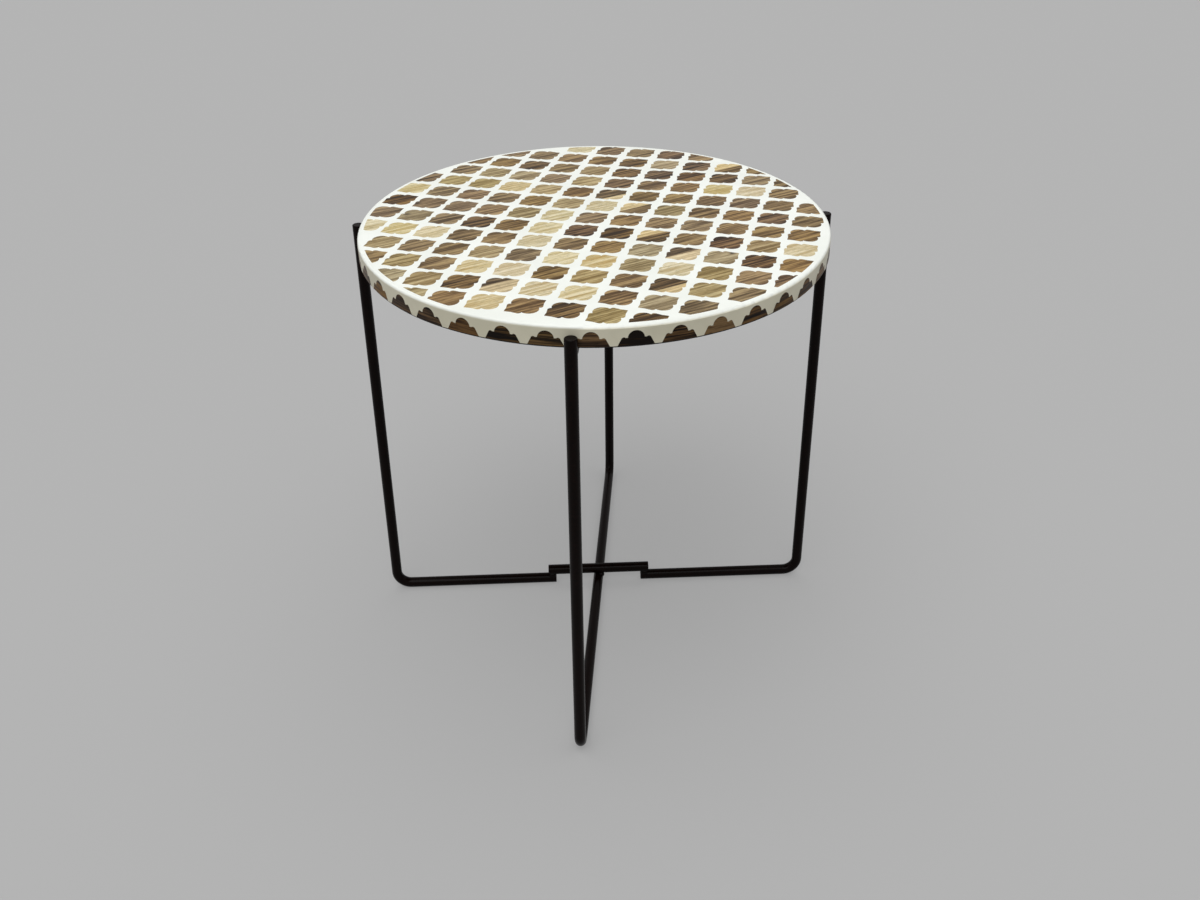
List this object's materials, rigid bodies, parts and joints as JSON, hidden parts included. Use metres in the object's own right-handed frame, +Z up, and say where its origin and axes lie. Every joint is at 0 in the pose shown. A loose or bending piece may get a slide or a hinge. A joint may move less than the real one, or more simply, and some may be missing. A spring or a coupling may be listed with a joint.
{
  "type": "side table",
  "caption": "Round side table with a wood and white resin lantern inlay, on a welded frame of crossed bent rods that reach up past the rim of the top.",
  "frame": {"origin": "on the floor, under the centre of the top", "axes": "+Z up; the side rods run along X and the front rod along Y, each turned by a few degrees as in the picture, whose front leg is at -Y"},
  "size_m": [0.4701, 0.4727, 0.457],
  "materials": {
    "board": "raw medium-density fibreboard",
    "backing": "dark stained sheet",
    "resin": "white casting resin, sanded and polished",
    "wood_pale": "sanded flush, clear lacquer",
    "wood_tan": "sanded flush, clear lacquer",
    "wood_brown": "sanded flush, clear lacquer",
    "wood_dark": "sanded flush, clear lacquer",
    "wood_two_tone": "heartwood and sapwood in one tile, clear lacquer",
    "edge_wood_brown": "sanded flush, clear lacquer",
    "edge_wood_dark": "sanded flush, clear lacquer",
    "frame_coat": "gloss black powder coat on round steel rod",
    "weld_coat": "gloss black powder coat over weld metal",
    "tab_coat": "gloss black powder coat on flat steel",
    "zinc": "zinc-plated wood screw"
  },
  "bodies": {
    "root": {"core_board": "board", "backing_sheet": "backing", "resin_surface": "resin", "resin_band": "resin", "tiles_pale": "wood_pale", "tiles_tan": "wood_tan", "tiles_brown": "wood_brown", "tiles_dark": "wood_dark", "tiles_two_tone": "wood_two_tone", "edge_pieces_brown": "edge_wood_brown", "edge_pieces_dark": "edge_wood_dark", "side_rod_right": "frame_coat", "side_rod_left": "frame_coat", "step_rod": "frame_coat", "front_rod": "frame_coat", "step_weld_right": "weld_coat", "step_weld_left": "weld_coat", "crossing_weld": "weld_coat", "tab_right": "tab_coat", "tab_rear": "tab_coat", "tab_left": "tab_coat", "tab_front": "tab_coat", "tab_weld_right": "weld_coat", "tab_weld_rear": "weld_coat", "tab_weld_left": "weld_coat", "tab_weld_front": "weld_coat", "screw_right": "zinc", "screw_rear": "zinc", "screw_left": "zinc", "screw_front": "zinc"}
  },
  "joints": []
}
